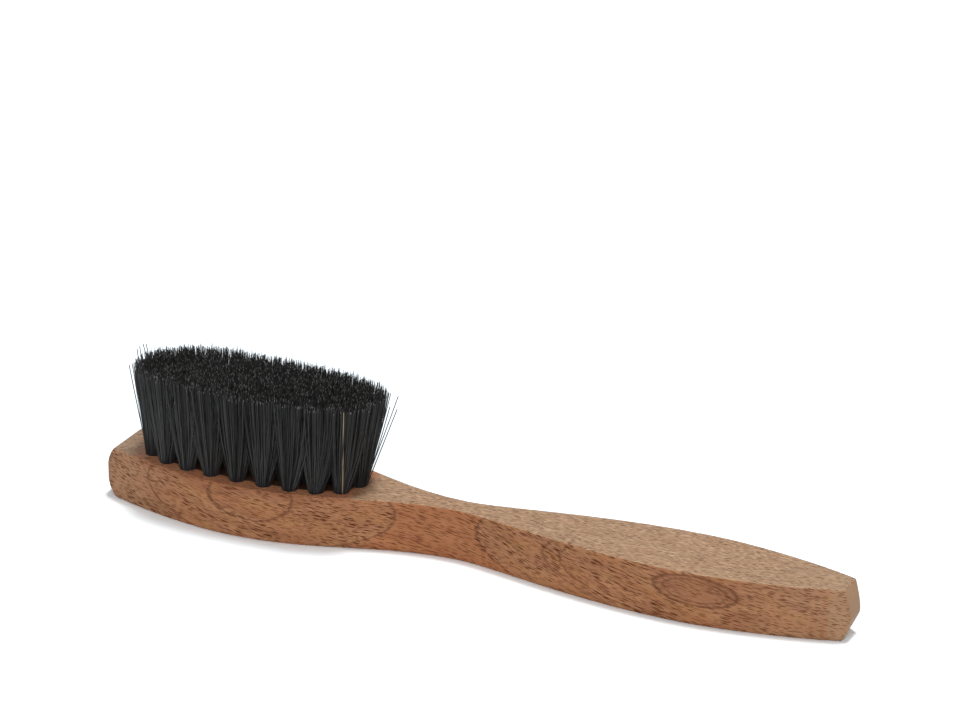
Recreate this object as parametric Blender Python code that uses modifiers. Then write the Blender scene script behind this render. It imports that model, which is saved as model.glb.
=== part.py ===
import math
import random

import bmesh
import bpy
from mathutils import Matrix, Vector

# Shoe polish applicator brush lying on its flat back, bristles up, toe at -X and grip end at +X.
# Metres, +Z up, origin in the middle of the flat back.

# Board, measured along X between its stations
TOE_TO_HEAD = 0.0387
HEAD_TO_NECK = 0.0543
NECK_TO_BELLY = 0.0576
BELLY_TO_HEEL = 0.0406
BOARD_THICKNESS = 0.0128

# Board, widths at the same stations
TOE_WIDTH = 0.0112
HEAD_WIDTH = 0.0283
NECK_WIDTH = 0.0061
BELLY_WIDTH = 0.0214
HEEL_WIDTH = 0.0062

# How fast the flanks close in toward the two ends, as width per length
TOE_TAPER = 0.42
HEEL_TAPER = 0.40

# How far each flank runs on before it turns, as a share of the span it is in
TOE_SWELL = 0.16
HEAD_FRONT_SWELL = 0.39
HEAD_BACK_SWELL = 0.40
NECK_FRONT_SWELL = 0.38
NECK_BACK_SWELL = 0.16
BELLY_FRONT_SWELL = 0.46
BELLY_BACK_SWELL = 0.325
HEEL_SWELL = 0.22

# Ends of the board: rounded toe corners, both end faces sanded to a convex profile
TOE_CORNER = 0.0015
TOE_BULGE = 0.0029
TOE_BULGE_HEIGHT = 0.0058
HEEL_BULGE = 0.0015
HEEL_UNDERCUT = 0.0018
HEEL_BULGE_HEIGHT = 0.0060
EDGE_EASING = 0.0005

# How far the lower part of the heel end runs back, per width and per height
HEEL_SKEW = 0.22
HEEL_LOWER_SLOPE = 0.62

# Tuft holes: an outer ring, an inner ring and a middle row
EDGE_MARGIN = 0.0044
TOE_MARGIN = 0.0109
RING_LENGTH = 0.0548
RING_SPACING = 0.0049
RING_END_SPACING = 0.0062
TUFT_PITCH = 0.0065
MIDDLE_GATHER = 0.95
RING_SQUARENESS = 2.55
OUTER_CROWDING = 0.105
HOLE_DIAMETER = 0.0039
HOLE_DEPTH = 0.0075
DRILL_POINT_DEPTH = 0.0009
END_TILT = math.radians(6.0)
SIDE_TILT = math.radians(1.2)

# Tufts: a packed root in each hole, held by a flat wire anchor, with strands above it
ROOT_CLEARANCE = 0.0003
ROOT_RISE = 0.0007
ANCHOR_BITE = 0.0004
ANCHOR_THICKNESS = 0.0005
ANCHOR_HEIGHT = 0.0016
ANCHOR_FOLD = 0.0014
BRISTLE_HEIGHT = 0.0225
BRISTLE_RAGGEDNESS = 0.0014
STRANDS_AROUND = 8
STRAND_ROOT_RADIUS = 0.00045
STRAND_TIP_RADIUS = 0.00040
STRAND_SPACE = 0.00012
STRAND_BOW = 0.32
INNER_TIP_SHARE = 0.70

# Facets
OUTLINE_STEPS = 10
HOLE_SIDES = 12
ROOT_SIDES = 8
STRAND_SIDES = 3

LENGTH = TOE_TO_HEAD + HEAD_TO_NECK + NECK_TO_BELLY + BELLY_TO_HEEL
TOE_X = -LENGTH / 2
HEAD_X = TOE_X + TOE_TO_HEAD
NECK_X = HEAD_X + HEAD_TO_NECK
BELLY_X = NECK_X + NECK_TO_BELLY
HEEL_X = BELLY_X + BELLY_TO_HEEL
RING_X = TOE_X + TOE_MARGIN + RING_LENGTH / 2
HOLE_RADIUS = HOLE_DIAMETER / 2


def clear_scene():
    for obj in list(bpy.data.objects):
        bpy.data.objects.remove(obj, do_unlink=True)


def make_collection(name):
    collection = bpy.data.collections.new(name)
    bpy.context.scene.collection.children.link(collection)
    return collection


def make_material(name, colour, roughness):
    material = bpy.data.materials.new(name)
    material.use_nodes = True
    shader = material.node_tree.nodes["Principled BSDF"]
    shader.inputs["Base Color"].default_value = (*colour, 1.0)
    shader.inputs["Roughness"].default_value = roughness
    shader.inputs["Metallic"].default_value = 0.0
    material.diffuse_color = (*colour, 1.0)
    return material


def add_object(name, mesh, collection):
    obj = bpy.data.objects.new(name, mesh)
    collection.objects.link(obj)
    return obj


def add_cutter(name, mesh, collection):
    obj = add_object(name, mesh, collection)
    obj.hide_render = True
    obj.display_type = "WIRE"
    return obj


def solid_from_outline(name, points, half_depth):
    # Each point is its place, the pull before it and the pull after it
    curve = bpy.data.curves.new(name, "CURVE")
    curve.dimensions = "2D"
    curve.fill_mode = "BOTH"
    curve.extrude = half_depth
    curve.resolution_u = OUTLINE_STEPS
    curve.render_resolution_u = 0
    spline = curve.splines.new("BEZIER")
    spline.bezier_points.add(len(points) - 1)
    spline.use_cyclic_u = True
    for knot, (place, before, after) in zip(spline.bezier_points, points):
        knot.handle_left_type = "FREE"
        knot.handle_right_type = "FREE"
        knot.co = (place[0], place[1], 0.0)
        knot.handle_left = (place[0] + before[0], place[1] + before[1], 0.0)
        knot.handle_right = (place[0] + after[0], place[1] + after[1], 0.0)
    obj = bpy.data.objects.new(name, curve)
    bpy.context.scene.collection.objects.link(obj)
    mesh = evaluated_mesh(obj)
    bpy.data.objects.remove(obj, do_unlink=True)
    return mesh


def evaluated_mesh(obj):
    bpy.context.view_layer.update()
    graph = bpy.context.evaluated_depsgraph_get()
    mesh = bpy.data.meshes.new_from_object(obj.evaluated_get(graph), depsgraph=graph)
    shape = bmesh.new()
    shape.from_mesh(mesh)
    bmesh.ops.remove_doubles(shape, verts=shape.verts, dist=0.00002)
    bmesh.ops.dissolve_limit(shape, angle_limit=0.002, verts=shape.verts, edges=shape.edges)
    bmesh.ops.recalc_face_normals(shape, faces=shape.faces)
    shape.to_mesh(mesh)
    shape.free()
    return mesh


def plan_outline():
    # One flank from toe to heel, then the same flank mirrored back
    toe_corner = Vector((TOE_X, TOE_WIDTH / 2))
    toe_line = Vector((1.0, TOE_TAPER))
    heel_line = Vector((1.0, -HEEL_TAPER))
    flank = [
        (toe_corner - Vector((0, TOE_CORNER)), Vector((0, 0)), Vector((0, TOE_CORNER * 0.6))),
        (toe_corner + toe_line * TOE_CORNER, toe_line * TOE_CORNER * -0.6,
         toe_line * TOE_TO_HEAD * TOE_SWELL),
        (Vector((HEAD_X, HEAD_WIDTH / 2)), Vector((-TOE_TO_HEAD * HEAD_FRONT_SWELL, 0)),
         Vector((HEAD_TO_NECK * HEAD_BACK_SWELL, 0))),
        (Vector((NECK_X, NECK_WIDTH / 2)), Vector((-HEAD_TO_NECK * NECK_FRONT_SWELL, 0)),
         Vector((NECK_TO_BELLY * NECK_BACK_SWELL, 0))),
        (Vector((BELLY_X, BELLY_WIDTH / 2)), Vector((-NECK_TO_BELLY * BELLY_FRONT_SWELL, 0)),
         Vector((BELLY_TO_HEEL * BELLY_BACK_SWELL, 0))),
        (Vector((HEEL_X, HEEL_WIDTH / 2)), heel_line * BELLY_TO_HEEL * -HEEL_SWELL, Vector((0, 0))),
    ]
    flip = Vector((1, -1))
    mirrored = [(place * flip, after * flip, before * flip) for place, before, after in reversed(flank)]
    return flank + mirrored


def end_profile():
    # Side view with both ends bulging; it runs past the board's top and back so that it only trims ends
    over = BOARD_THICKNESS * 0.2
    toe_corner_x = TOE_X + TOE_BULGE
    heel_corner_x = HEEL_X - HEEL_BULGE
    heel_foot_x = HEEL_X - HEEL_UNDERCUT
    toe_pull = TOE_BULGE * 0.45
    toe_run = BOARD_THICKNESS * 0.24
    heel_upper = BOARD_THICKNESS - HEEL_BULGE_HEIGHT
    still = Vector((0, 0))
    return [
        (Vector((toe_corner_x, -over)), still, still),
        (Vector((toe_corner_x, 0)), still, Vector((-toe_pull, toe_pull))),
        (Vector((TOE_X, TOE_BULGE_HEIGHT)), Vector((0, -toe_run)), Vector((0, toe_run))),
        (Vector((toe_corner_x, BOARD_THICKNESS)), Vector((-toe_pull, -toe_pull)), still),
        (Vector((toe_corner_x, BOARD_THICKNESS + over)), still, still),
        (Vector((heel_corner_x, BOARD_THICKNESS + over)), still, still),
        (Vector((heel_corner_x, BOARD_THICKNESS)), still, Vector((HEEL_BULGE * 0.4, -heel_upper * 0.25))),
        (Vector((HEEL_X, HEEL_BULGE_HEIGHT)), Vector((0, heel_upper * 0.3)),
         Vector((0, -HEEL_BULGE_HEIGHT * 0.24))),
        (Vector((heel_foot_x, 0)), Vector((HEEL_UNDERCUT * 0.35, HEEL_BULGE_HEIGHT * 0.26)), still),
        (Vector((heel_foot_x, -over)), still, still),
    ]


def sand_heel(mesh):
    # Takes the lower part of the heel end off along a slope that runs back toward +Y
    near_foot = Vector((HEEL_X - HEEL_UNDERCUT, -HEEL_WIDTH / 2 - HEEL_UNDERCUT * HEEL_TAPER, 0.0))
    slope = Vector((1.0, HEEL_SKEW, -HEEL_LOWER_SLOPE))
    shape = bmesh.new()
    shape.from_mesh(mesh)
    everything = list(shape.verts) + list(shape.edges) + list(shape.faces)
    made = bmesh.ops.bisect_plane(shape, geom=everything, plane_co=near_foot, plane_no=slope,
                                  clear_outer=True)
    rim = [part for part in made["geom_cut"] if isinstance(part, bmesh.types.BMEdge)]
    bmesh.ops.edgeloop_fill(shape, edges=rim)
    bmesh.ops.recalc_face_normals(shape, faces=shape.faces)
    shape.to_mesh(mesh)
    shape.free()


def ring_places(length, width, crowding):
    # Places round a rounded oval, one at each of its two ends, closer together toward them
    steps = 1440
    outline = []
    for step in range(steps + 1):
        turn = 2 * math.pi * step / steps
        across = math.copysign(abs(math.cos(turn)) ** (2 / RING_SQUARENESS), math.cos(turn))
        along = math.copysign(abs(math.sin(turn)) ** (2 / RING_SQUARENESS), math.sin(turn))
        outline.append(Vector((RING_X + across * length / 2, along * width / 2)))
    travel = [0.0]
    for start, end in zip(outline, outline[1:]):
        travel.append(travel[-1] + (end - start).length)
    count = 2 * round(travel[-1] / TUFT_PITCH / 2)
    gaps = [1 - crowding * math.cos(4 * math.pi * (index + 0.5) / count) for index in range(count)]
    places = []
    walked = 0.0
    step = 0
    for gap in gaps:
        while travel[step + 1] < walked:
            step += 1
        share = (walked - travel[step]) / (travel[step + 1] - travel[step])
        places.append(outline[step].lerp(outline[step + 1], share))
        walked += gap / sum(gaps) * travel[-1]
    return places


def tuft_places():
    outer_width = HEAD_WIDTH - 2 * EDGE_MARGIN
    outer = ring_places(RING_LENGTH, outer_width, OUTER_CROWDING)
    inner_length = RING_LENGTH - 2 * RING_END_SPACING
    inner_width = outer_width - 2 * RING_SPACING
    inner = ring_places(inner_length, inner_width, 0.0)
    # Each middle tuft stands between two tufts of the inner ring's one side, drawn in a little
    side = inner[1:len(inner) // 2]
    middle = []
    for one, two in zip(side, side[1:]):
        middle.append(Vector((RING_X + ((one.x + two.x) / 2 - RING_X) * MIDDLE_GATHER, 0.0)))
    return outer + inner + middle


def tuft_frame(place):
    # Hole axis fans outward with the distance from the middle of the rings
    half_width = HEAD_WIDTH / 2 - EDGE_MARGIN
    lean_x = math.tan(END_TILT * (place.x - RING_X) / (RING_LENGTH / 2))
    lean_y = math.tan(SIDE_TILT * place.y / half_width)
    axis = Vector((lean_x, lean_y, 1.0)).normalized()
    turn = Vector((0, 0, 1)).rotation_difference(axis).to_matrix().to_4x4()
    return Matrix.Translation((place.x, place.y, BOARD_THICKNESS)) @ turn


def nearest_spacing(place, places):
    return min((place - other).length for other in places if other is not place)


def add_drill(shape, frame):
    # Blind hole with the cone that the drill's point leaves
    top = HOLE_RADIUS
    height = HOLE_DEPTH + top
    barrel = bmesh.ops.create_cone(
        shape, cap_ends=True, segments=HOLE_SIDES, radius1=HOLE_RADIUS, radius2=HOLE_RADIUS,
        depth=height, matrix=frame @ Matrix.Translation((0, 0, top - height / 2)))
    verts = set(barrel["verts"])
    axis = frame.to_3x3() @ Vector((0, 0, 1))
    caps = [face for face in shape.faces if set(face.verts) <= verts]
    foot = min(caps, key=lambda face: face.normal.dot(axis))
    foot.normal_update()
    centre = foot.calc_center_median()
    point = bmesh.ops.poke(shape, faces=[foot])["verts"][0]
    point.co = centre - axis * DRILL_POINT_DEPTH


def hole_cutter(frames):
    shape = bmesh.new()
    for frame in frames:
        add_drill(shape, frame)
    bmesh.ops.recalc_face_normals(shape, faces=shape.faces)
    mesh = bpy.data.meshes.new("tuft_holes")
    shape.to_mesh(mesh)
    shape.free()
    return mesh


def anchor_mesh(name, frames, clearance):
    # Flat wire across the hole, its ends reaching past the hole's wall
    shape = bmesh.new()
    length = HOLE_DIAMETER + 2 * ANCHOR_BITE + 2 * clearance
    level = -HOLE_DEPTH + ROOT_CLEARANCE + ANCHOR_FOLD
    size = Matrix.Diagonal((ANCHOR_THICKNESS + 2 * clearance, length, ANCHOR_HEIGHT + 2 * clearance, 1.0))
    for frame in frames:
        place = Matrix.Translation((0, 0, level + ANCHOR_HEIGHT / 2))
        bmesh.ops.create_cube(shape, size=1.0, matrix=frame @ place @ size)
    mesh = bpy.data.meshes.new(name)
    shape.to_mesh(mesh)
    shape.free()
    return mesh


def root_mesh(name):
    # Packed root of a tuft: a plug with a rounded foot that follows the drill's point
    radius = HOLE_RADIUS * math.cos(math.pi / HOLE_SIDES) - ROOT_CLEARANCE
    bottom = -HOLE_DEPTH + ROOT_CLEARANCE
    shape = bmesh.new()
    place = Matrix.Translation((0, 0, (ROOT_RISE + bottom) / 2))
    bmesh.ops.create_cone(shape, cap_ends=True, segments=ROOT_SIDES, radius1=radius, radius2=radius,
                          depth=ROOT_RISE - bottom, matrix=place)
    foot = min(shape.faces, key=lambda face: face.calc_center_median().z)
    point = bmesh.ops.poke(shape, faces=[foot])["verts"][0]
    point.co.z -= DRILL_POINT_DEPTH
    bmesh.ops.recalc_face_normals(shape, faces=shape.faces)
    mesh = bpy.data.meshes.new(name)
    shape.to_mesh(mesh)
    shape.free()
    return mesh, radius


def strand_reach(limit, radius):
    # Farthest place for a strand whose flat side faces out, its corners kept inside the limit
    corner = math.pi / STRAND_SIDES
    half_side = radius * math.sin(corner)
    return math.sqrt((limit - STRAND_SPACE) ** 2 - half_side ** 2) - radius * math.cos(corner)


def strands_mesh(name, frame, root_radius, cell_radius, seed):
    # One strand in the middle and the others round it, every second one of which leans out less
    chance = random.Random(seed)
    root_reach = strand_reach(root_radius * math.cos(math.pi / ROOT_SIDES), STRAND_ROOT_RADIUS)
    tip_reach = strand_reach(cell_radius, STRAND_TIP_RADIUS)
    slope = frame.to_3x3()[2]
    shape = bmesh.new()
    for index in range(STRANDS_AROUND + 1):
        turn = 2 * math.pi * index / STRANDS_AROUND
        way = Vector((math.cos(turn), math.sin(turn))) if index < STRANDS_AROUND else Vector((0, 0))
        centre = way * root_reach
        tip = way * tip_reach * (INNER_TIP_SHARE if index % 2 else 1.0)
        trim = BRISTLE_HEIGHT - chance.random() * BRISTLE_RAGGEDNESS
        height = (trim - slope[0] * tip.x - slope[1] * tip.y) / slope[2]
        bow = centre.lerp(tip, STRAND_BOW)
        start = -ROOT_CLEARANCE
        levels = [(centre, start, STRAND_ROOT_RADIUS),
                  (bow, height * 0.5, (STRAND_ROOT_RADIUS + STRAND_TIP_RADIUS) / 2),
                  (tip, height, STRAND_TIP_RADIUS)]
        add_strand(shape, levels, turn + math.pi / STRAND_SIDES)
    mesh = bpy.data.meshes.new(name)
    shape.to_mesh(mesh)
    shape.free()
    return mesh


def add_strand(shape, levels, turn):
    rings = []
    for centre, height, radius in levels:
        ring = bmesh.ops.create_circle(shape, cap_ends=False, segments=STRAND_SIDES, radius=radius,
                                       matrix=Matrix.Translation((centre.x, centre.y, height))
                                       @ Matrix.Rotation(turn, 4, "Z"))
        rings.append(ring["verts"])
    for lower, upper in zip(rings, rings[1:]):
        for side in range(STRAND_SIDES):
            after = (side + 1) % STRAND_SIDES
            shape.faces.new((lower[side], lower[after], upper[after], upper[side]))
    shape.faces.new(list(reversed(rings[0])))
    shape.faces.new(rings[-1])
    bmesh.ops.recalc_face_normals(shape, faces=shape.faces)


def boolean(obj, operation, other):
    modifier = obj.modifiers.new(operation.lower(), "BOOLEAN")
    modifier.operation = operation
    modifier.object = other
    modifier.solver = "EXACT"


def shade(mesh, angle):
    mesh.shade_smooth()
    mesh.set_sharp_from_angle(angle=angle)


def make_board(parts, cutters, frames, material):
    plan = solid_from_outline("board", plan_outline(), BOARD_THICKNESS / 2)
    plan.transform(Matrix.Translation((0, 0, BOARD_THICKNESS / 2)))
    profile = solid_from_outline("end_profile", end_profile(), HEAD_WIDTH)
    profile.transform(Matrix.Rotation(math.radians(90), 4, "X"))
    sand_heel(profile)
    trimmer = add_cutter("end_profile", profile, cutters)
    blank = add_object("blank", plan, parts)
    boolean(blank, "INTERSECT", trimmer)
    mesh = evaluated_mesh(blank)
    bpy.data.objects.remove(blank, do_unlink=True)
    shade(mesh, math.radians(35))
    mesh.materials.append(material)
    board = add_object("board", mesh, parts)
    easing = board.modifiers.new("eased edges", "BEVEL")
    easing.width = EDGE_EASING
    easing.segments = 2
    easing.limit_method = "ANGLE"
    easing.angle_limit = math.radians(35)
    easing.use_clamp_overlap = False
    boolean(board, "DIFFERENCE", add_cutter("tuft_holes", hole_cutter(frames), cutters))
    slots = anchor_mesh("anchor_slots", frames, ROOT_CLEARANCE)
    boolean(board, "DIFFERENCE", add_cutter("anchor_slots", slots, cutters))
    return board


def make_tufts(parts, cutters, places, frames, material):
    for number, (place, frame) in enumerate(zip(places, frames), start=1):
        name = f"tuft_{number:02d}"
        root, root_radius = root_mesh(name)
        root.materials.append(material)
        tuft = add_object(name, root, parts)
        cell_radius = nearest_spacing(place, places) / 2
        strands = strands_mesh(f"{name}_strands", frame, root_radius, cell_radius, number)
        anchor = anchor_mesh(f"{name}_anchor", [Matrix.Identity(4)], 0.0)
        for mesh in (strands, anchor):
            piece = add_cutter(mesh.name, mesh, cutters)
            piece.matrix_world = frame
            boolean(tuft, "UNION", piece)
        tuft.matrix_world = frame


def main():
    clear_scene()
    parts = make_collection("shoe_polish_brush")
    cutters = make_collection("cutters")
    wood = make_material("oiled hardwood", (0.36, 0.18, 0.10), 0.55)
    hair = make_material("black bristle", (0.022, 0.021, 0.021), 0.45)
    places = tuft_places()
    frames = [tuft_frame(place) for place in places]
    make_board(parts, cutters, frames, wood)
    make_tufts(parts, cutters, places, frames, hair)


main()
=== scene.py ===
import math
import random

import bmesh
import bpy
from mathutils import Matrix, Vector


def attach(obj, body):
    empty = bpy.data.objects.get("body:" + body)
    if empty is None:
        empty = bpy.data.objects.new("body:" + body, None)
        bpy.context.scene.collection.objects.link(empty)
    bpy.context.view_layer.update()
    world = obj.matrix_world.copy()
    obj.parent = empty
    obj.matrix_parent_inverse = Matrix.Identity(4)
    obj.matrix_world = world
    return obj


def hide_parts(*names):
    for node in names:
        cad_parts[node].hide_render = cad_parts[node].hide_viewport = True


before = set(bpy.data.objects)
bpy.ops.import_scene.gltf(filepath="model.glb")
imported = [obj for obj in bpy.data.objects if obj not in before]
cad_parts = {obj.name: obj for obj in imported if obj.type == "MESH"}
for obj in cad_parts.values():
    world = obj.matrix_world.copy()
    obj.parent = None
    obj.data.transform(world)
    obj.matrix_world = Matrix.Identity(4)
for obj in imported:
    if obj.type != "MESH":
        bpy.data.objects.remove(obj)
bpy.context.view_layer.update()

# All lengths are in metres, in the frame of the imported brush: the toe at -X, the heel at +X, bristles up.

# The board and the drilling of its holes, as the part's source gives them.
HEAD_WIDTH = 0.0283
BOARD_THICKNESS = 0.0128
EDGE_MARGIN = 0.0044
RING_X = -0.0573
RING_LENGTH = 0.0548
RING_SPACING = 0.0049
RING_END_SPACING = 0.0062
RING_SQUARENESS = 2.55
RING_STEPS = 1440
TUFT_PITCH = 0.0065
MIDDLE_GATHER = 0.95
OUTER_CROWDING = 0.105
END_TILT = math.radians(6.0)
SIDE_TILT = math.radians(1.2)
HOLE_DIAMETER = 0.0039
HOLE_DEPTH = 0.0075

# The folded roots packed in a hole, and the flat anchor wire pressed in across their fold.
# Levels are counted along the drilling from the board's face.
PACKED_ROOT_SIDES = 16
PACKED_ROOT_TOP = -0.0004
PACKED_ROOT_BOTTOM = 0.0021 - HOLE_DEPTH
PACKED_ROOT_TOP_RADIUS = HOLE_DIAMETER / 2 - 0.0001
PACKED_ROOT_BOTTOM_RADIUS = HOLE_DIAMETER / 2 - 0.0002
ANCHOR_LEVEL = -0.0050
ANCHOR_LENGTH = 0.0046
ANCHOR_HEIGHT = 0.0015
ANCHOR_THICKNESS = 0.0004
ANCHOR_EDGE = 0.00012

# The black hair of a tuft: it spreads more along its row than across it.
HAIR_HEIGHT = 0.0224
HAIRS_PER_TUFT = 400
HAIR_ROOT_RADIUS = 0.000085
HAIR_TIP_RADIUS = 0.00006
HAIR_SIDES = 3
HAIR_LEVELS = (0.0, 0.2, 0.45, 0.72, 1.0)
HAIR_FOOT_LEVEL = -0.0012
HAIR_PLAY = 0.00003
HAIR_BOW = 0.7
BOW_SPREAD = 0.25
REACH_ALONG_ROW = 0.0048
REACH_ACROSS_ROW = 0.0032
FAN_SQUARENESS = 3.5
TOE_LEAN = math.radians(0.8)
HEEL_LEAN = math.radians(7.6)
SIDE_LEAN = math.radians(1.5)
SCATTER_ALONG = 0.0008
SCATTER_ACROSS = 0.00045
TUFT_SEED = 1000

# The trim: each tuft is a little off, each hair a little more, and a few are left long or cut short.
TUFT_TRIM = 0.00030
HAIR_RAGGEDNESS = 0.00030
MOST_RAGGED = 0.0007
LONG_HAIR_SHARE = 0.06
LEAST_EXTRA = 0.0004
MOST_EXTRA = 0.0010
SHORT_HAIR_SHARE = 0.02
LEAST_CUT = 0.0008
MOST_CUT = 0.010

# Hairs that stand away from the brush: the tuft's number, the place of the tip, and the bow.
STRAY_HAIRS = (
    (12, (-0.0885, -0.0053, 0.0346), 0.10), (12, (-0.0885, -0.0039, 0.0346), 0.02),
    (11, (-0.0906, 0.0021, 0.0356), 0.10), (11, (-0.0909, 0.0040, 0.0356), 0.05),
    (10, (-0.0908, 0.0054, 0.0356), 0.10), (10, (-0.0905, 0.0063, 0.0354), 0.15),
    (2, (-0.0248, 0.0068, 0.0346), 0.10), (2, (-0.0225, 0.0060, 0.0346), 0.05),
    (1, (-0.0204, 0.0013, 0.0335), 0.00), (1, (-0.0213, -0.0007, 0.0346), 0.08),
    (2, (-0.0267, 0.0079, 0.0348), 0.10),
)
PALE_HAIR = (20, (-0.0292, -0.0087, 0.0347), 0.05)
STRAY_RADIUS = 0.00016
STRAY_TIP_RADIUS = 0.00013
STRAY_PLAY = 0.00005
STRAY_SEED = 77

# The grain: how steeply the fibres rise towards the toe, and the oval figures on the flanks. A figure has
# its middle along X and up Z, half its length, half its height, its tilt, and how far its lines sway.
# It goes right through the board. The choice of the cells that hold a pore is a little soft.
GRAIN_RISE = math.radians(9.8)
GRIP_EYE = (0.0605, 0.0085, 0.0101, 0.0036, math.radians(2.0), 0.06)
GRIP_ARCS = (0.0609, 0.0088, 0.0585, 0.0145, 0.0, 0.012)
HEAD_EYE = (-0.0521, 0.0109, 0.01065, 0.0059, 0.0, 0.07)
HEAD_ARC = (-0.0495, 0.0092, 0.0316, 0.0106, 0.0, 0.014)
THROUGH_BOARD = 1000.0
CHOICE_BLUR = 0.15

# Where each finish of the timber, and each painted sheen, light and shade on it, goes from none to full. A
# facing is a part of the surface's normal, X is along the board, a reach from the tufts is counted along it
# from the middle of the rings, and a reach of the bed is 1 on its oval.
TOP_FACING = (0.55, 0.95)
HEEL_FACING = (0.70, 0.90)
TOE_FACING = (-0.70, -0.95)
HEEL_BAND_X = (0.0905, 0.0915)
DRY_ENDS_X = (0.066, 0.088)
# Painted shade on the top of the toe beyond the tufts.
TOE_SHADE_X = (-0.084, -0.088)
WAIST_FROM_HEAD_X = (-0.032, -0.020)
WAIST_FROM_GRIP_X = (0.020, 0.008)
GRIP_ARCS_X = (0.062, 0.052)
SPARSE_PORES_X = (0.066, 0.076)
# Painted shade on the upper flank under the overhanging tufts.
UNDER_TUFT_SHADE_Z = (0.0092, 0.0126)
UNDER_TUFT_SHADE_FROM_TUFTS = (0.0310, 0.0250)
# The top away from the tufts gets a painted sheen: it is painted paler where the top catches the light.
SHEEN_FROM_TUFTS = (0.0270, 0.0310)
BED_HALF_LENGTH = 0.0273
BED_HALF_WIDTH = 0.0094
# Painted shade in the bed between the tufts.
BED_SHADE_REACH = (1.06, 0.92)
# Painted light on the top's rim in front of the tufts.
LIT_RIM_REACH = (0.95, 1.20)

# The timber's tones, with the painted sheen, light and shade laid over them, its relief and shine.
DARK_STREAK = (0.355, 0.156, 0.071)
PALE_STREAK = (0.530, 0.264, 0.130)
WARM_PATCH = (0.520, 0.220, 0.084)
ROSE_FIBRES = (0.430, 0.185, 0.108)
OLIVE_FIBRES = (0.405, 0.225, 0.092)
DARK_FIBRES = (0.265, 0.112, 0.050)
EYE_HEART = (0.300, 0.125, 0.068)
RED_WAIST = (0.425, 0.140, 0.052)
# A painted sheen on the top, with darker mottle and painted glints in it.
TOP_SHEEN = (0.500, 0.382, 0.249)
SHEEN_MOTTLE_DARK = (0.32, 0.19, 0.12)
SHEEN_GLINTS = (0.77, 0.58, 0.40)
# Painted light on the top's rim in front of the tufts.
PAINTED_LIGHT_RIM = (0.80, 0.31, 0.17)
DRY_ENDS = (0.40, 0.28, 0.18)
# Painted shade on the top of the toe.
PAINTED_TOE_SHADE = (0.235, 0.165, 0.130)
# Painted shade on the upper flank under the overhanging tufts.
PAINTED_UNDER_TUFT_SHADE = (0.230, 0.075, 0.036)
HEEL_BAND = (0.45, 0.32, 0.20)
HEEL_END_GRAIN = (0.41, 0.245, 0.135)
TOE_END_GRAIN = (0.40, 0.24, 0.155)
# Painted shade in the bed between the tufts.
PAINTED_BED_SHADE = (0.020, 0.008, 0.006)
GROWTH_LINE = (0.150, 0.056, 0.024)
DEEP_PORE = (0.078, 0.013, 0.002)
FINE_PORE = (0.118, 0.034, 0.007)
FLECK = (0.125, 0.057, 0.027)
PORE_DEPTH = 0.00012
GRAIN_RELIEF = 0.4
WOOD_SHINE = 0.18

# The finish of the hair and the wire, with a painted bluish sheen at the hair's roots and painted glints on
# its cut ends.
DARK_HAIR = (0.0110, 0.0104, 0.0097)
LIGHTER_HAIR = (0.0265, 0.0246, 0.0228)
# A painted bluish sheen on the lowest hair.
PAINTED_ROOT_SHEEN = (0.026, 0.027, 0.034)
ROOT_SHEEN_HEIGHT = 0.004
# Cut ends painted lighter: partly their own grey, partly painted glints.
CUT_END_GLINTS = (0.34, 0.34, 0.34)
HAIR_ROUGHNESS = 0.48
HAIR_SHINE = 0.42
PALE_ROOT = (0.24, 0.15, 0.07)
PALE_TIP = (0.46, 0.37, 0.23)
PALE_ROUGHNESS = 0.4
DULL_WIRE = (0.42, 0.41, 0.39)
BRIGHT_WIRE = (0.58, 0.57, 0.55)
SCRATCHES_PER_METRE = 9000.0

# The table: the colour that its light comes from, and the white that it is seen as.
TABLE_HALF_WIDTH = 3.0
TABLE_DROP = 0.00002
TABLE_LIT = (0.88, 0.88, 0.88)
TABLE_SEEN = (1.29, 1.39, 1.45)

# The light. A lamp has the way that its light travels, its level, and its width in the sky in degrees.
BACKGROUND_RAYS = ("Is Camera Ray", "Is Glossy Ray", "Is Transmission Ray")
SURROUND_LEVEL = 0.15
TOP_LAMP = ((-0.05, -0.155, -1.0), 0.61, 12)
FRONT_LAMP = ((-0.30, 0.80, -0.48), 0.44, 45)

# The photograph's viewpoint.
CAMERA_AZIMUTH = math.radians(25.936)
CAMERA_ELEVATION = math.radians(22.561)
CAMERA_DISTANCE = 1.16781
CAMERA_AIM = Vector((-0.053575, 0.113628, 0.0))
CAMERA_LENS = 168.75
CAMERA_NEAR = 0.01
CAMERA_FAR = 20.0
SENSOR_WIDTH = 36.0


# Places of the tufts


def ring_places(length, width, crowding):
    """Spaces the holes of one ring evenly along a squared oval."""
    outline = []
    for step in range(RING_STEPS + 1):
        turn = 2 * math.pi * step / RING_STEPS
        across = math.copysign(abs(math.cos(turn)) ** (2 / RING_SQUARENESS), math.cos(turn))
        along = math.copysign(abs(math.sin(turn)) ** (2 / RING_SQUARENESS), math.sin(turn))
        outline.append(Vector((RING_X + across * length / 2, along * width / 2)))
    travel = [0.0]
    for start, end in zip(outline, outline[1:]):
        travel.append(travel[-1] + (end - start).length)
    count = 2 * round(travel[-1] / TUFT_PITCH / 2)
    gaps = [1 - crowding * math.cos(4 * math.pi * (index + 0.5) / count) for index in range(count)]
    places = []
    walked = 0.0
    step = 0
    for gap in gaps:
        while travel[step + 1] < walked:
            step += 1
        share = (walked - travel[step]) / (travel[step + 1] - travel[step])
        places.append(outline[step].lerp(outline[step + 1], share))
        walked += gap / sum(gaps) * travel[-1]
    return places


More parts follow.
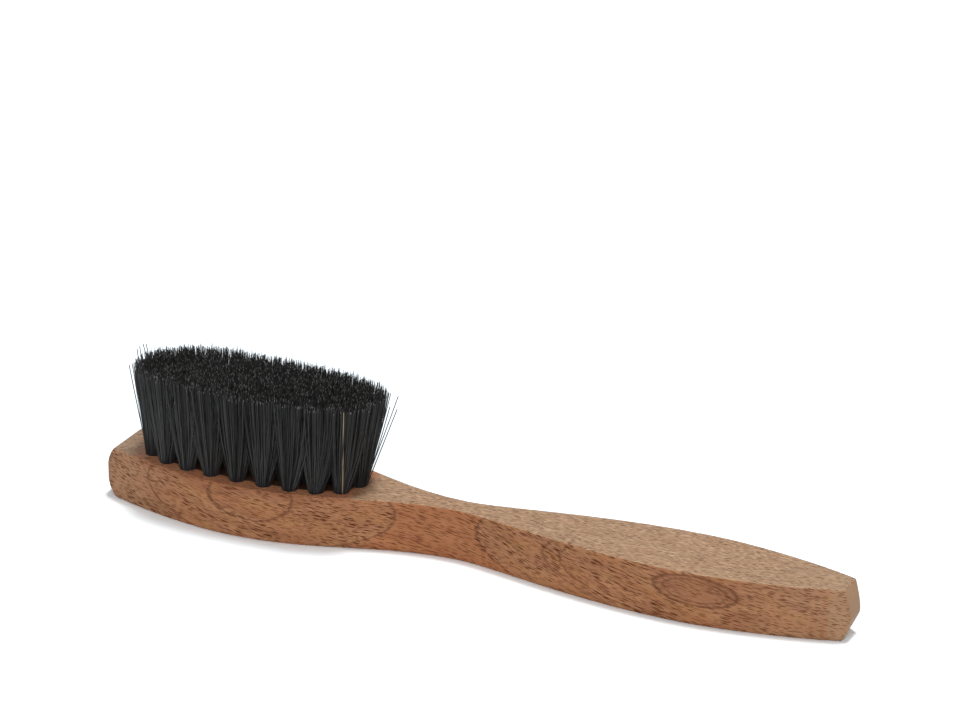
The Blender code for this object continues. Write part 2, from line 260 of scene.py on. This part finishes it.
def tuft_places():
    """Gives the middle of every hole: the outer ring, the inner ring and the middle row."""
    outer_width = HEAD_WIDTH - 2 * EDGE_MARGIN
    outer = ring_places(RING_LENGTH, outer_width, OUTER_CROWDING)
    inner = ring_places(RING_LENGTH - 2 * RING_END_SPACING, outer_width - 2 * RING_SPACING, 0.0)
    side = inner[1 : len(inner) // 2]
    middle = [
        Vector((RING_X + ((one.x + two.x) / 2 - RING_X) * MIDDLE_GATHER, 0.0))
        for one, two in zip(side, side[1:])
    ]
    return outer, inner, middle


def tuft_rows():
    """Pairs every hole, in the order of the tufts' numbers, with the direction of its row."""
    outer, inner, middle = tuft_places()
    rows = []
    for ring in (outer, inner):
        for index, place in enumerate(ring):
            row = ring[(index + 1) % len(ring)] - ring[index - 1]
            rows.append((place, row.normalized()))
    for place in middle:
        rows.append((place, Vector((1.0, 0.0))))
    return rows


def tuft_frame(place):
    """Stands a tuft on the board's face, leaning out with its place."""
    half_width = HEAD_WIDTH / 2 - EDGE_MARGIN
    lean_x = math.tan(END_TILT * (place.x - RING_X) / (RING_LENGTH / 2))
    lean_y = math.tan(SIDE_TILT * place.y / half_width)
    axis = Vector((lean_x, lean_y, 1)).normalized()
    turn = Vector((0, 0, 1)).rotation_difference(axis)
    return Matrix.Translation((place.x, place.y, BOARD_THICKNESS)) @ turn.to_matrix().to_4x4()


# Pieces


def new_piece(name, shape, material, replaced=()):
    """Turns a finished bmesh into a piece of the brush."""
    mesh = bpy.data.meshes.new(name)
    shape.to_mesh(mesh)
    shape.free()
    mesh.materials.append(material)
    piece = bpy.data.objects.new(name, mesh)
    bpy.context.scene.collection.objects.link(piece)
    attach(piece, "root")
    if replaced:
        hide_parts(*replaced)


# Nodes


def new_material(name):
    material = bpy.data.materials.new(name)
    material.use_nodes = True
    return material, material.node_tree, material.node_tree.nodes["Principled BSDF"]


def add_node(tree, kind, inputs=None, **settings):
    """Adds a node, sets it, and fills its inputs with numbers or with other nodes' outputs."""
    node = tree.nodes.new(kind)
    for key, value in settings.items():
        setattr(node, key, value)
    for key, value in (inputs or {}).items():
        if isinstance(value, bpy.types.NodeSocket):
            tree.links.new(value, node.inputs[key])
        else:
            node.inputs[key].default_value = value
    return node


def object_place(tree):
    return add_node(tree, "ShaderNodeTexCoord").outputs["Object"]


def object_height(tree):
    return add_node(tree, "ShaderNodeSeparateXYZ", {0: object_place(tree)}).outputs[2]


def calculate(tree, operation, first, second=0.0, clamp=False):
    node = add_node(tree, "ShaderNodeMath", {0: first, 1: second}, operation=operation, use_clamp=clamp)
    return node.outputs[0]


def multiply(tree, total, *factors):
    for factor in factors:
        total = calculate(tree, "MULTIPLY", total, factor)
    return total


def darkest(tree, total, *layers):
    for layer in layers:
        total = calculate(tree, "MAXIMUM", total, layer)
    return total


def distance_between(tree, value, middle):
    return calculate(tree, "ABSOLUTE", calculate(tree, "SUBTRACT", value, middle))


def fade(tree, value, start, end, low=0.0, high=1.0):
    """Eases from low to high while the value goes from start to end."""
    node = add_node(
        tree,
        "ShaderNodeMapRange",
        {"Value": value, "From Min": start, "From Max": end, "To Min": low, "To Max": high},
        interpolation_type="SMOOTHSTEP",
    )
    return node.outputs["Result"]


def less_where(tree, mask, rest):
    """A factor that is 1 off the mask and goes down to the rest on it."""
    return fade(tree, mask, 0.0, 1.0, 1.0, rest)


def blend_colours(tree, share, first, second):
    """Mixes two colours. A mix node of colours takes them at 6 and 7, and the share of the second at 0."""
    node = add_node(tree, "ShaderNodeMix", data_type="RGBA")
    for socket, value in ((node.inputs[0], share), (node.inputs[6], first), (node.inputs[7], second)):
        if isinstance(value, bpy.types.NodeSocket):
            tree.links.new(value, socket)
        elif isinstance(value, float):
            socket.default_value = value
        else:
            socket.default_value = (*value, 1.0)
    return node.outputs[2]


# The timber


def grain_coordinates(tree, along, across, inwards=1.0, tilt=GRAIN_RISE):
    """Object coordinates counted in cells that are long along the fibres and narrow across them."""
    mapping = add_node(
        tree,
        "ShaderNodeMapping",
        {"Vector": object_place(tree), "Rotation": (0.0, tilt, 0.0),
         "Scale": (along, across * inwards, across)},
        vector_type="TEXTURE",
    )
    return mapping.outputs[0]


def grain_noise(tree, along, across, detail=2.0, roughness=0.5, tilt=GRAIN_RISE):
    """Uneven tones that run with the fibres."""
    inputs = {"Vector": grain_coordinates(tree, along, across, tilt=tilt), "Scale": 1.0,
              "Detail": detail, "Roughness": roughness}
    return add_node(tree, "ShaderNodeTexNoise", inputs).outputs[0]


def pore_layer(tree, along, across, inwards, core, rim, kept, tilt=GRAIN_RISE):
    """Open pores: dark dashes along the grain, in the share of the cells that is kept."""
    cells = add_node(
        tree,
        "ShaderNodeTexVoronoi",
        {"Vector": grain_coordinates(tree, along, across, inwards, tilt), "Scale": 1.0, "Randomness": 1.0},
    )
    dash = fade(tree, cells.outputs["Distance"], core, rim, 1.0, 0.0)
    draw = add_node(tree, "ShaderNodeSeparateColor", {"Color": cells.outputs["Color"]})
    chosen = fade(tree, draw.outputs[0], 1.0 - kept, 1.0 - kept + CHOICE_BLUR)
    return multiply(tree, dash, chosen)


def figure_reach(tree, figure, wave):
    """How far out from a grain figure's middle a place on a flank lies: 1 on the figure's own line."""
    x, z, half_length, half_height, tilt, sway = figure
    swaying = fade(tree, wave, 0.2, 0.8, -sway, sway)
    from_middle = add_node(
        tree,
        "ShaderNodeMapping",
        {"Vector": object_place(tree), "Location": (x, 0.0, z), "Rotation": (0.0, tilt, 0.0),
         "Scale": (half_length, THROUGH_BOARD, half_height)},
        vector_type="TEXTURE",
    )
    reach = add_node(tree, "ShaderNodeVectorMath", {0: from_middle.outputs[0]}, operation="LENGTH")
    return calculate(tree, "ADD", reach.outputs["Value"], swaying)


def growth_line(tree, reach, at, half, dark=1.0):
    """A dark line where one year's growth ends."""
    return fade(tree, distance_between(tree, reach, at), 0.0, half, dark, 0.0)


def bed_reach(tree, x, y):
    """Below 1 inside the squared oval of the bed of the tufts, above 1 outside it."""
    along = calculate(tree, "DIVIDE", distance_between(tree, x, RING_X), BED_HALF_LENGTH)
    along = calculate(tree, "POWER", along, RING_SQUARENESS)
    across = calculate(tree, "DIVIDE", calculate(tree, "ABSOLUTE", y), BED_HALF_WIDTH)
    return calculate(tree, "ADD", along, calculate(tree, "POWER", across, RING_SQUARENESS))


def board_regions(tree):
    """The regions of the board, each 1 where it is and 0 elsewhere, and the place along the board."""
    coordinates = add_node(tree, "ShaderNodeTexCoord").outputs
    x, y, z = add_node(tree, "ShaderNodeSeparateXYZ", {0: coordinates["Object"]}).outputs
    facing = add_node(tree, "ShaderNodeSeparateXYZ", {0: coordinates["Normal"]}).outputs
    top = fade(tree, facing[2], *TOP_FACING)
    heel_end = fade(tree, facing[0], *HEEL_FACING)
    flank = calculate(tree, "SUBTRACT", calculate(tree, "SUBTRACT", 1.0, top), heel_end, clamp=True)
    from_tufts = distance_between(tree, x, RING_X)
    # The top away from the tufts, where a painted sheen goes.
    sheen_top = multiply(tree, top, fade(tree, from_tufts, *SHEEN_FROM_TUFTS))
    top_without_sheen = calculate(tree, "SUBTRACT", top, sheen_top)
    bed = bed_reach(tree, x, y)
    beside_tufts = fade(tree, from_tufts, *UNDER_TUFT_SHADE_FROM_TUFTS)
    return {
        "x": x,
        "top": top,
        "flank": flank,
        "heel_end": heel_end,
        "toe_end": fade(tree, facing[0], *TOE_FACING),
        "heel_band": fade(tree, x, *HEEL_BAND_X),
        "dry_ends": fade(tree, calculate(tree, "ABSOLUTE", x), *DRY_ENDS_X),
        "sheen_top": sheen_top,
        # Painted shade on the top of the toe.
        "toe_top_shade": multiply(tree, sheen_top, fade(tree, x, *TOE_SHADE_X)),
        # Painted light on the top's rim in front of the tufts.
        "rim": multiply(tree, fade(tree, bed, *LIT_RIM_REACH), top_without_sheen),
        # Painted shade in the bed between the tufts.
        "bed": multiply(tree, fade(tree, bed, *BED_SHADE_REACH), top),
        # Painted shade on the upper flank under the overhanging tufts.
        "under_tuft_shade": multiply(tree, fade(tree, z, *UNDER_TUFT_SHADE_Z), flank, beside_tufts),
    }


def grain_figures(tree, where):
    """Adds the growth lines: an eye on the grip, half an eye under the tufts, and wider arcs round both."""
    wave = grain_noise(tree, along=0.0024, across=0.0008, detail=4.0, roughness=0.68)
    breaks = grain_noise(tree, along=0.0014, across=0.0005, roughness=0.6)
    eye = figure_reach(tree, GRIP_EYE, wave)
    grip_arcs = figure_reach(tree, GRIP_ARCS, wave)
    half_eye = figure_reach(tree, HEAD_EYE, wave)
    head_arc = figure_reach(tree, HEAD_ARC, wave)
    arcs = darkest(
        tree,
        growth_line(tree, grip_arcs, at=0.60, half=0.013),
        growth_line(tree, grip_arcs, at=0.68, half=0.015, dark=0.8),
        growth_line(tree, grip_arcs, at=1.0, half=0.011),
    )
    lines = darkest(
        tree,
        growth_line(tree, half_eye, at=1.0, half=0.08),
        growth_line(tree, head_arc, at=1.0, half=0.022, dark=0.9),
        multiply(tree, arcs, fade(tree, where["x"], *GRIP_ARCS_X)),
    )
    eye_lines = darkest(
        tree,
        growth_line(tree, eye, at=1.0, half=0.11),
        growth_line(tree, eye, at=0.76, half=0.08, dark=0.8),
    )
    lines = multiply(tree, lines, fade(tree, breaks, 0.34, 0.54, 0.45, 1.0))
    eye_lines = multiply(tree, eye_lines, fade(tree, breaks, 0.34, 0.54, 0.65, 1.0))
    where["eye"] = eye
    where["heart"] = multiply(tree, fade(tree, eye, 1.05, 0.92), where["flank"])
    where["lines"] = multiply(tree, darkest(tree, lines, eye_lines), where["flank"])
    # The plain red timber of the waist lies between the arcs.
    where["waist"] = multiply(
        tree,
        fade(tree, head_arc, 0.99, 1.03),
        fade(tree, grip_arcs, 0.99, 1.01),
        fade(tree, where["x"], *WAIST_FROM_HEAD_X),
        fade(tree, where["x"], *WAIST_FROM_GRIP_X),
        where["flank"],
    )


def timber_colour(tree, where, fibres, patches):
    """Lays the tones of the fibres, and over them the dry ends, the heel band, a painted sheen on the top,
    painted light on the rim before the tufts, painted shade on the toe's top, under the tufts and in their
    bed, and the grain figures.
    """
    streaks = grain_noise(tree, along=0.022, across=0.0022, detail=5.0, roughness=0.62)
    hues = grain_noise(tree, along=0.0060, across=0.0024)
    mottle = grain_noise(tree, along=0.0022, across=0.00026, roughness=0.7, tilt=0.0)
    # Darker mottle and painted glints in the painted sheen on the top.
    shade = multiply(tree, where["sheen_top"], fade(tree, mottle, 0.30, 0.50, 0.45, 0.0))
    shine = multiply(tree, where["sheen_top"], fade(tree, mottle, 0.50, 0.68, 0.0, 0.60))
    colour = blend_colours(tree, fade(tree, streaks, 0.32, 0.68), DARK_STREAK, PALE_STREAK)
    layers = (
        (fade(tree, patches, 0.45, 0.65, 0.0, 0.45), WARM_PATCH),
        (fade(tree, hues, 0.35, 0.55, 0.35, 0.0), ROSE_FIBRES),
        (fade(tree, hues, 0.50, 0.70, 0.0, 0.30), OLIVE_FIBRES),
        (fade(tree, fibres, 0.3, 0.7, 0.55, 0.0), DARK_FIBRES),
        (multiply(tree, where["heart"], 0.45), EYE_HEART),
        (multiply(tree, where["waist"], 0.40), RED_WAIST),
        # The painted sheen on the top, with its darker mottle and painted glints.
        (multiply(tree, where["sheen_top"], 0.40), TOP_SHEEN),
        (shade, SHEEN_MOTTLE_DARK),
        (shine, SHEEN_GLINTS),
        # Painted light on the rim in front of the tufts.
        (multiply(tree, where["rim"], 0.40), PAINTED_LIGHT_RIM),
        (multiply(tree, where["dry_ends"], 0.22), DRY_ENDS),
        # Painted shade on the top of the toe.
        (multiply(tree, where["toe_top_shade"], 0.35), PAINTED_TOE_SHADE),
        # Painted shade on the upper flank under the tufts.
        (multiply(tree, where["under_tuft_shade"], 0.38), PAINTED_UNDER_TUFT_SHADE),
        (multiply(tree, where["heel_band"], 0.30), HEEL_BAND),
        (multiply(tree, where["heel_end"], 0.70), HEEL_END_GRAIN),
        (multiply(tree, where["toe_end"], 0.45), TOE_END_GRAIN),
        # Painted shade in the bed between the tufts.
        (multiply(tree, where["bed"], 0.95), PAINTED_BED_SHADE),
        (multiply(tree, where["lines"], 0.90), GROWTH_LINE),
    )
    for share, tone in layers:
        colour = blend_colours(tree, share, colour, tone)
    return colour


def timber_pores(tree, where, patches):
    """Deep pores, sparser in the waist, in the eye and at the heel, fine ones among them, flecks on top."""
    long_pores = pore_layer(tree, along=0.0040, across=0.00035, inwards=3.3, core=0.22, rim=0.40, kept=0.90)
    short_pores = pore_layer(tree, along=0.0024, across=0.00025, inwards=3.6, core=0.24, rim=0.44, kept=0.88)
    flecks = pore_layer(tree, along=0.0017, across=0.00021, inwards=1.0, core=0.24, rim=0.48, kept=0.95,
                        tilt=0.0)
    crowd = multiply(
        tree,
        fade(tree, patches, 0.66, 0.50, 0.22, 1.0),
        less_where(tree, where["waist"], 0.75),
        fade(tree, where["eye"], 1.25, 1.05, 1.0, 0.55),
        less_where(tree, where["heel_end"], 0.0),
        less_where(tree, where["heel_band"], 0.5),
        fade(tree, where["x"], *SPARSE_PORES_X, 1.0, 0.60),
    )
    deep = multiply(tree, long_pores, crowd, less_where(tree, where["top"], 0.0))
    on_sides = fade(tree, where["top"], 0.0, 1.0, 0.85, 0.0)
    fine = multiply(tree, short_pores, on_sides, less_where(tree, where["heel_end"], 0.2))
    return deep, fine, multiply(tree, flecks, where["top"])


def oiled_hardwood():
    """The board's timber: red-brown, with oval grain figures on its flanks, and open pores."""
    material, tree, shader = new_material("oiled hardwood")
    where = board_regions(tree)
    grain_figures(tree, where)
    fibres = grain_noise(tree, along=0.0030, across=0.00028, detail=3.0, roughness=0.65)
    patches = grain_noise(tree, along=0.016, across=0.0055)
    colour = timber_colour(tree, where, fibres, patches)
    deep, fine, flecks = timber_pores(tree, where, patches)
    for pores, tone in ((deep, DEEP_PORE), (fine, FINE_PORE), (flecks, FLECK)):
        colour = blend_colours(tree, pores, colour, tone)
    height = calculate(tree, "SUBTRACT", multiply(tree, fibres, 0.25), deep)
    height = calculate(tree, "SUBTRACT", height, multiply(tree, fine, 0.5))
    relief = {"Strength": GRAIN_RELIEF, "Distance": PORE_DEPTH, "Height": height}
    bump = add_node(tree, "ShaderNodeBump", relief)
    tree.links.new(colour, shader.inputs["Base Color"])
    tree.links.new(fade(tree, fibres, 0.3, 0.7, 0.50, 0.60), shader.inputs["Roughness"])
    tree.links.new(fade(tree, deep, 0.0, 1.0, WOOD_SHINE, 0.0), shader.inputs["Specular IOR Level"])
    tree.links.new(bump.outputs[0], shader.inputs["Normal"])
    return material


# The hair's and the wire's materials


def black_bristle():
    """Dyed black hair: each strand has its own tone, cut ends are painted lighter, partly their own grey and
    partly painted glints, and the roots have a painted bluish sheen.
    """
    material, tree, shader = new_material("black bristle")
    tone = add_node(tree, "ShaderNodeAttribute", attribute_name="strand_tone").outputs["Fac"]
    along = add_node(tree, "ShaderNodeAttribute", attribute_name="along_strand").outputs["Fac"]
    colour = blend_colours(tree, fade(tree, tone, 0.2, 0.95), DARK_HAIR, LIGHTER_HAIR)
    # A painted bluish sheen at the roots.
    root_sheen = fade(tree, object_height(tree), BOARD_THICKNESS, BOARD_THICKNESS + ROOT_SHEEN_HEIGHT, 0.5, 0.0)
    colour = blend_colours(tree, root_sheen, colour, PAINTED_ROOT_SHEEN)
    # Cut ends painted lighter: partly their own grey, partly painted glints.
    cut = multiply(tree, fade(tree, along, 0.975, 0.992), fade(tree, tone, 0.68, 0.99, 0.03, 1.0))
    colour = blend_colours(tree, cut, colour, CUT_END_GLINTS)
    tree.links.new(colour, shader.inputs["Base Color"])
    shader.inputs["Roughness"].default_value = HAIR_ROUGHNESS
    shader.inputs["Specular IOR Level"].default_value = HAIR_SHINE
    return material


def pale_bristle():
    """The one undyed hair."""
    material, tree, shader = new_material("undyed bristle")
    grown = fade(tree, object_height(tree), BOARD_THICKNESS, BOARD_THICKNESS + HAIR_HEIGHT)
    tree.links.new(blend_colours(tree, grown, PALE_ROOT, PALE_TIP), shader.inputs["Base Color"])
    shader.inputs["Roughness"].default_value = PALE_ROUGHNESS
    return material


def anchor_wire_metal():
    """Drawn wire: dull bright metal with fine scratches."""
    material, tree, shader = new_material("anchor wire")
    inputs = {"Vector": object_place(tree), "Scale": SCRATCHES_PER_METRE, "Detail": 2.0}
    scratches = add_node(tree, "ShaderNodeTexNoise", inputs).outputs[0]
    tree.links.new(fade(tree, scratches, 0.3, 0.7, 0.30, 0.5), shader.inputs["Roughness"])
    tree.links.new(blend_colours(tree, scratches, DULL_WIRE, BRIGHT_WIRE), shader.inputs["Base Color"])
    shader.inputs["Metallic"].default_value = 1.0
    return material


# Hair


def hair_path(stand, root, tip, row, bow):
    """The middle line of one hair: up its hole along the drilling, then to its tip, bowing along its row."""
    points = [stand @ Vector((root.x, root.y, HAIR_FOOT_LEVEL))]
    mouth = stand @ Vector((root.x, root.y, 0.0))
    for level in HAIR_LEVELS:
        side = mouth.lerp(tip, level)
        side += Vector((*row, 0.0)) * ((tip - mouth).xy.dot(row) * bow * level * (1 - level))
        points.append(Vector((side.x, side.y, mouth.z + (tip.z - mouth.z) * level)))
    return points


def squared_fan(turn):
    """How far the fan reaches in this direction, so that neighbouring tufts meet."""
    power = FAN_SQUARENESS
    return (abs(math.cos(turn)) ** power + abs(math.sin(turn)) ** power) ** (-1 / power)


def tuft_hair_paths(place, row, draw):
    """Packs the roots of one tuft in its hole and fans the hairs out along its row."""
    stand = tuft_frame(place)
    root_reach = HOLE_DIAMETER / 2 - HAIR_ROOT_RADIUS - HAIR_PLAY
    across = Vector((-row.y, row.x))
    from_middle = (place.x - RING_X) / (RING_LENGTH / 2)
    lean_x = HAIR_HEIGHT * math.tan((HEEL_LEAN if from_middle > 0 else TOE_LEAN) * from_middle)
    lean_y = HAIR_HEIGHT * math.tan(SIDE_LEAN * place.y / (HEAD_WIDTH / 2 - EDGE_MARGIN))
    trim = draw.uniform(-TUFT_TRIM, TUFT_TRIM)
    paths = []
    for number in range(HAIRS_PER_TUFT):
        share = math.sqrt((number + 0.5) / HAIRS_PER_TUFT)
        turn = number * math.pi * (3 - math.sqrt(5))
        root = (row * math.cos(turn) + across * math.sin(turn)) * root_reach * share
        reach = share * squared_fan(turn)
        side = place + Vector((lean_x, lean_y))
        side += row * (math.cos(turn) * reach * REACH_ALONG_ROW + draw.gauss(0, SCATTER_ALONG))
        side += across * (math.sin(turn) * reach * REACH_ACROSS_ROW + draw.gauss(0, SCATTER_ACROSS))
        ragged = max(-MOST_RAGGED, min(MOST_RAGGED, draw.gauss(0, HAIR_RAGGEDNESS)))
        height = HAIR_HEIGHT + trim + ragged
        if draw.random() < LONG_HAIR_SHARE:
            height = HAIR_HEIGHT + draw.uniform(LEAST_EXTRA, MOST_EXTRA)
        if draw.random() < SHORT_HAIR_SHARE:
            height = HAIR_HEIGHT - draw.uniform(LEAST_CUT, MOST_CUT)
            side = place.lerp(side, height / HAIR_HEIGHT)
        tip = Vector((side.x, side.y, BOARD_THICKNESS + height))
        bow = HAIR_BOW + draw.uniform(-BOW_SPREAD, BOW_SPREAD)
        paths.append(hair_path(stand, root, tip, row, bow))
    return paths


def grow_hairs(shape, paths, root_radius, tip_radius, draw):
    """Draws each hair up its path as a closed, thinning strand."""
    number = shape.verts.layers.int.new("hair_number")
    tone = shape.verts.layers.float.new("strand_tone")
    along = shape.verts.layers.float.new("along_strand")
    for index, path in enumerate(paths):
        stand = (path[1] - path[0]).to_track_quat("Z", "Y").to_matrix().to_4x4()
        turn = Matrix.Rotation(draw.uniform(0, math.tau), 4, "Z")
        made = bmesh.ops.create_circle(
            shape, cap_ends=False, radius=root_radius, segments=HAIR_SIDES,
            matrix=Matrix.Translation(path[0]) @ stand @ turn,
        )
        strand_tone = draw.random()
        for vertex in made["verts"]:
            vertex[number] = index
            vertex[tone] = strand_tone
    ends = list(shape.edges)
    last = len(HAIR_LEVELS)
    for level in range(1, last + 1):
        before = root_radius + (tip_radius - root_radius) * (level - 1) / last
        after = root_radius + (tip_radius - root_radius) * level / last
        made = bmesh.ops.extrude_edge_only(shape, edges=ends)["geom"]
        ends = [part for part in made if isinstance(part, bmesh.types.BMEdge)]
        for vertex in made:
            if isinstance(vertex, bmesh.types.BMVert):
                path = paths[vertex[number]]
                vertex.co = path[level] + (vertex.co - path[level - 1]) * (after / before)
                vertex[along] = HAIR_LEVELS[level - 1]
    open_edges = [edge for edge in shape.edges if edge.is_boundary]
    bmesh.ops.holes_fill(shape, edges=open_edges, sides=HAIR_SIDES)
    bmesh.ops.recalc_face_normals(shape, faces=shape.faces)
    shape.verts.layers.int.remove(number)


def add_packed_root(shape, stand):
    """The bound roots that fill the hole below the board's face."""
    middle = (PACKED_ROOT_TOP + PACKED_ROOT_BOTTOM) / 2
    bmesh.ops.create_cone(
        shape, cap_ends=True, segments=PACKED_ROOT_SIDES, radius1=PACKED_ROOT_BOTTOM_RADIUS,
        radius2=PACKED_ROOT_TOP_RADIUS, depth=PACKED_ROOT_TOP - PACKED_ROOT_BOTTOM,
        matrix=stand @ Matrix.Translation((0, 0, middle)),
    )


def make_tufts(hair_material):
    """Replaces each tuft's solid by its own hairs."""
    for index, (place, row) in enumerate(tuft_rows()):
        draw = random.Random(TUFT_SEED + index)
        shape = bmesh.new()
        grow_hairs(shape, tuft_hair_paths(place, row, draw), HAIR_ROOT_RADIUS, HAIR_TIP_RADIUS, draw)
        add_packed_root(shape, tuft_frame(place))
        name = f"tuft_{index + 1:02d}"
        new_piece(name + "_hair", shape, hair_material, (name,))


def make_loose_hairs(name, hairs, hair_material):
    """Single hairs that part from their tufts near the root."""
    rows = tuft_rows()
    draw = random.Random(STRAY_SEED)
    paths = []
    for tuft, tip, bow in hairs:
        place = rows[tuft - 1][0]
        tip = Vector(tip)
        way = (tip.xy - place).normalized()
        root = way * (HOLE_DIAMETER / 2 - STRAY_RADIUS - STRAY_PLAY)
        paths.append(hair_path(tuft_frame(place), root, tip, way, bow))
    shape = bmesh.new()
    grow_hairs(shape, paths, STRAY_RADIUS, STRAY_TIP_RADIUS, draw)
    new_piece(name, shape, hair_material)


def make_anchor_wires():
    """The flat wires, hidden in the board, that hold the folded roots down."""
    shape = bmesh.new()
    size = Matrix.Diagonal((ANCHOR_THICKNESS, ANCHOR_LENGTH, ANCHOR_HEIGHT, 1.0))
    for place, _ in tuft_rows():
        stand = tuft_frame(place) @ Matrix.Translation((0, 0, ANCHOR_LEVEL))
        bmesh.ops.create_cube(shape, size=1.0, matrix=stand @ size)
    bmesh.ops.bevel(shape, geom=list(shape.edges), affect="EDGES", offset=ANCHOR_EDGE, segments=2,
                    profile=0.5, material=-1)
    new_piece("anchor_wires", shape, anchor_wire_metal())


# Light, table and camera


def background_share(tree):
    """1 for the rays that show the background, 0 for those that light the brush."""
    path = add_node(tree, "ShaderNodeLightPath")
    return darkest(tree, *[path.outputs[ray] for ray in BACKGROUND_RAYS])


def make_table():
    """A white table that keeps the brush's shadow."""
    shape = bmesh.new()
    bmesh.ops.create_grid(shape, x_segments=1, y_segments=1, size=TABLE_HALF_WIDTH)
    bmesh.ops.translate(shape, verts=shape.verts, vec=(0, 0, -TABLE_DROP))
    mesh = bpy.data.meshes.new("white_table")
    shape.to_mesh(mesh)
    shape.free()
    material = bpy.data.materials.new("white table top")
    material.use_nodes = True
    tree = material.node_tree
    tree.nodes.clear()
    white = blend_colours(tree, background_share(tree), TABLE_LIT, TABLE_SEEN)
    paper = add_node(tree, "ShaderNodeBsdfDiffuse", {"Color": white})
    add_node(tree, "ShaderNodeOutputMaterial", {"Surface": paper.outputs[0]})
    mesh.materials.append(material)
    table = bpy.data.objects.new("white_table", mesh)
    bpy.context.scene.collection.objects.link(table)


def add_lamp(name, heading, level, spread):
    """A distant lamp whose light travels along the heading."""
    lamp = bpy.data.lights.new(name, "SUN")
    lamp.energy = math.pi * level
    lamp.angle = math.radians(spread)
    lamp_object = bpy.data.objects.new(name, lamp)
    bpy.context.scene.collection.objects.link(lamp_object)
    lamp_object.rotation_euler = Vector(heading).to_track_quat("-Z", "Y").to_euler()


def make_light():
    """An even white surround, a soft lamp above and behind, and one in front."""
    world = bpy.data.worlds.new("white surround")
    bpy.context.scene.world = world
    world.use_nodes = True
    tree = world.node_tree
    tree.nodes.clear()
    level = add_node(tree, "ShaderNodeBackground", {"Color": (1, 1, 1, 1), "Strength": SURROUND_LEVEL})
    white = add_node(tree, "ShaderNodeBackground", {"Color": (1, 1, 1, 1), "Strength": 1.0})
    mix = add_node(tree, "ShaderNodeMixShader",
                   {0: background_share(tree), 1: level.outputs[0], 2: white.outputs[0]})
    add_node(tree, "ShaderNodeOutputWorld", {"Surface": mix.outputs[0]})
    add_lamp("soft_top_lamp", *TOP_LAMP)
    add_lamp("soft_front_lamp", *FRONT_LAMP)


def make_camera():
    scene = bpy.context.scene
    camera = bpy.data.cameras.new("camera")
    camera.lens = CAMERA_LENS
    camera.sensor_width = SENSOR_WIDTH
    camera.clip_start = CAMERA_NEAR
    camera.clip_end = CAMERA_FAR
    camera_object = bpy.data.objects.new("camera", camera)
    scene.collection.objects.link(camera_object)
    level = math.cos(CAMERA_ELEVATION)
    back = Vector((math.sin(CAMERA_AZIMUTH) * level, -math.cos(CAMERA_AZIMUTH) * level,
                   math.sin(CAMERA_ELEVATION)))
    camera_object.location = CAMERA_AIM + back * CAMERA_DISTANCE
    camera_object.rotation_euler = (-back).to_track_quat("-Z", "Y").to_euler()
    scene.camera = camera_object
    scene.view_settings.view_transform = "Standard"


make_camera()
make_light()
make_table()
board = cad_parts["board"]
board.data.materials.clear()
board.data.materials.append(oiled_hardwood())
black = black_bristle()
make_tufts(black)
make_loose_hairs("stray_hairs", STRAY_HAIRS, black)
make_loose_hairs("pale_hair", (PALE_HAIR,), pale_bristle())
make_anchor_wires()
